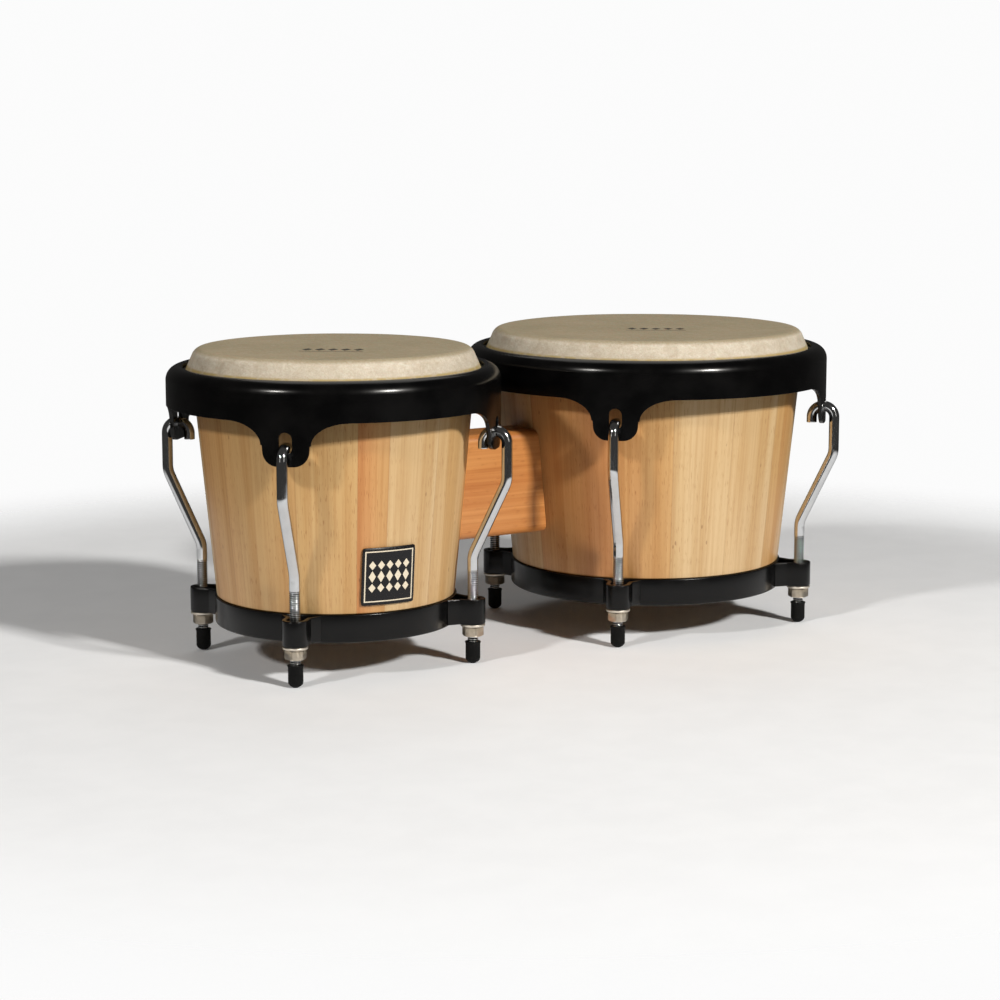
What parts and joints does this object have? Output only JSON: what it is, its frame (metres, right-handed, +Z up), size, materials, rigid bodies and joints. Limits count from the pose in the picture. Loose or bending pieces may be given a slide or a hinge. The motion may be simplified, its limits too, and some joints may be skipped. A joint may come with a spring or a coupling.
{
  "type": "bongo drums",
  "caption": "Pair of tapered wooden bongo drums of different size joined by a wooden block, with rawhide heads, black steel rims, hooked tuning rods and rubber feet.",
  "frame": {"origin": "middle of the base of the whole object's box, on the floor that the rubber feet stand on", "axes": "+X from the small drum to the large drum, -Y towards the badge side, +Z up towards the heads"},
  "size_m": [0.436, 0.226, 0.1853],
  "materials": {
    "shell_wood": "satin lacquer over pale staves",
    "block_wood": "satin lacquer, grain along the block",
    "rawhide": "dry natural rawhide, lightly mottled",
    "black_steel": "satin black powder coat",
    "chrome": "bright chrome plating",
    "nickel": "dull nickel plating",
    "steel": "plain zinc-plated steel",
    "brass": "machined brass",
    "black_rubber": "matt black rubber",
    "badge_enamel": "gloss black enamel"
  },
  "bodies": {
    "frame": {"small_shell": "shell_wood", "small_bottom_ring": "black_steel", "small_washer_1": "nickel", "small_washer_2": "nickel", "small_washer_3": "nickel", "small_washer_4": "nickel", "block_bolt_small_lower": "steel", "block_bolt_washer_small_lower": "steel", "threaded_insert_small_lower": "brass", "block_bolt_small_upper": "steel", "block_bolt_washer_small_upper": "steel", "threaded_insert_small_upper": "brass", "large_shell": "shell_wood", "large_bottom_ring": "black_steel", "large_washer_1": "nickel", "large_washer_2": "nickel", "large_washer_3": "nickel", "large_washer_4": "nickel", "block_bolt_large_lower": "steel", "block_bolt_washer_large_lower": "steel", "threaded_insert_large_lower": "brass", "block_bolt_large_upper": "steel", "block_bolt_washer_large_upper": "steel", "threaded_insert_large_upper": "brass", "centre_block": "block_wood", "badge": "badge_enamel"},
    "small_head_assembly": {"small_head_skin": "rawhide", "small_flesh_hoop": "steel", "small_rim": "black_steel", "small_tuning_rod_1": "chrome", "small_rubber_foot_1": "black_rubber", "small_tuning_rod_2": "chrome", "small_rubber_foot_2": "black_rubber", "small_tuning_rod_3": "chrome", "small_rubber_foot_3": "black_rubber", "small_tuning_rod_4": "chrome", "small_rubber_foot_4": "black_rubber"},
    "large_head_assembly": {"large_head_skin": "rawhide", "large_flesh_hoop": "steel", "large_rim": "black_steel", "large_tuning_rod_1": "chrome", "large_rubber_foot_1": "black_rubber", "large_tuning_rod_2": "chrome", "large_rubber_foot_2": "black_rubber", "large_tuning_rod_3": "chrome", "large_rubber_foot_3": "black_rubber", "large_tuning_rod_4": "chrome", "large_rubber_foot_4": "black_rubber"},
    "small_nut_1": {"small_tuning_nut_1": "nickel"},
    "small_nut_2": {"small_tuning_nut_2": "nickel"},
    "small_nut_3": {"small_tuning_nut_3": "nickel"},
    "small_nut_4": {"small_tuning_nut_4": "nickel"},
    "large_nut_1": {"large_tuning_nut_1": "nickel"},
    "large_nut_2": {"large_tuning_nut_2": "nickel"},
    "large_nut_3": {"large_tuning_nut_3": "nickel"},
    "large_nut_4": {"large_tuning_nut_4": "nickel"}
  },
  "joints": [
    {"name": "small_slackening", "type": "slide", "parent": "frame", "child": "small_head_assembly", "axis": [0, 0, 1], "range_m": [0, 0.0031]},
    {"name": "small_nut_turn_1", "type": "hinge", "parent": "frame", "child": "small_nut_1", "pos_m": [-0.0611, 0.0589, 0.0192], "axis": [0, 0, 1], "range_deg": [-890, 0]},
    {"name": "small_nut_turn_2", "type": "hinge", "parent": "frame", "child": "small_nut_2", "pos_m": [-0.1789, 0.0589, 0.0192], "axis": [0, 0, 1], "range_deg": [-890, 0]},
    {"name": "small_nut_turn_3", "type": "hinge", "parent": "frame", "child": "small_nut_3", "pos_m": [-0.1789, -0.0589, 0.0192], "axis": [0, 0, 1], "range_deg": [-890, 0]},
    {"name": "small_nut_turn_4", "type": "hinge", "parent": "frame", "child": "small_nut_4", "pos_m": [-0.0611, -0.0589, 0.0192], "axis": [0, 0, 1], "range_deg": [-890, 0]},
    {"name": "large_slackening", "type": "slide", "parent": "frame", "child": "large_head_assembly", "axis": [0, 0, 1], "range_m": [0, 0.0031]},
    {"name": "large_nut_turn_1", "type": "hinge", "parent": "frame", "child": "large_nut_1", "pos_m": [0.17451, 0.06951, 0.0192], "axis": [0, 0, 1], "range_deg": [-890, 0]},
    {"name": "large_nut_turn_2", "type": "hinge", "parent": "frame", "child": "large_nut_2", "pos_m": [0.03549, 0.06951, 0.0192], "axis": [0, 0, 1], "range_deg": [-890, 0]},
    {"name": "large_nut_turn_3", "type": "hinge", "parent": "frame", "child": "large_nut_3", "pos_m": [0.03549, -0.06951, 0.0192], "axis": [0, 0, 1], "range_deg": [-890, 0]},
    {"name": "large_nut_turn_4", "type": "hinge", "parent": "frame", "child": "large_nut_4", "pos_m": [0.17451, -0.06951, 0.0192], "axis": [0, 0, 1], "range_deg": [-890, 0]}
  ],
  "couplings": [
    {"joint": "small_nut_turn_1", "follows": "small_slackening", "rad_per_m": -4947.4},
    {"joint": "small_nut_turn_2", "follows": "small_slackening", "rad_per_m": -4947.4},
    {"joint": "small_nut_turn_3", "follows": "small_slackening", "rad_per_m": -4947.4},
    {"joint": "small_nut_turn_4", "follows": "small_slackening", "rad_per_m": -4947.4},
    {"joint": "large_nut_turn_1", "follows": "large_slackening", "rad_per_m": -4947.4},
    {"joint": "large_nut_turn_2", "follows": "large_slackening", "rad_per_m": -4947.4},
    {"joint": "large_nut_turn_3", "follows": "large_slackening", "rad_per_m": -4947.4},
    {"joint": "large_nut_turn_4", "follows": "large_slackening", "rad_per_m": -4947.4}
  ]
}
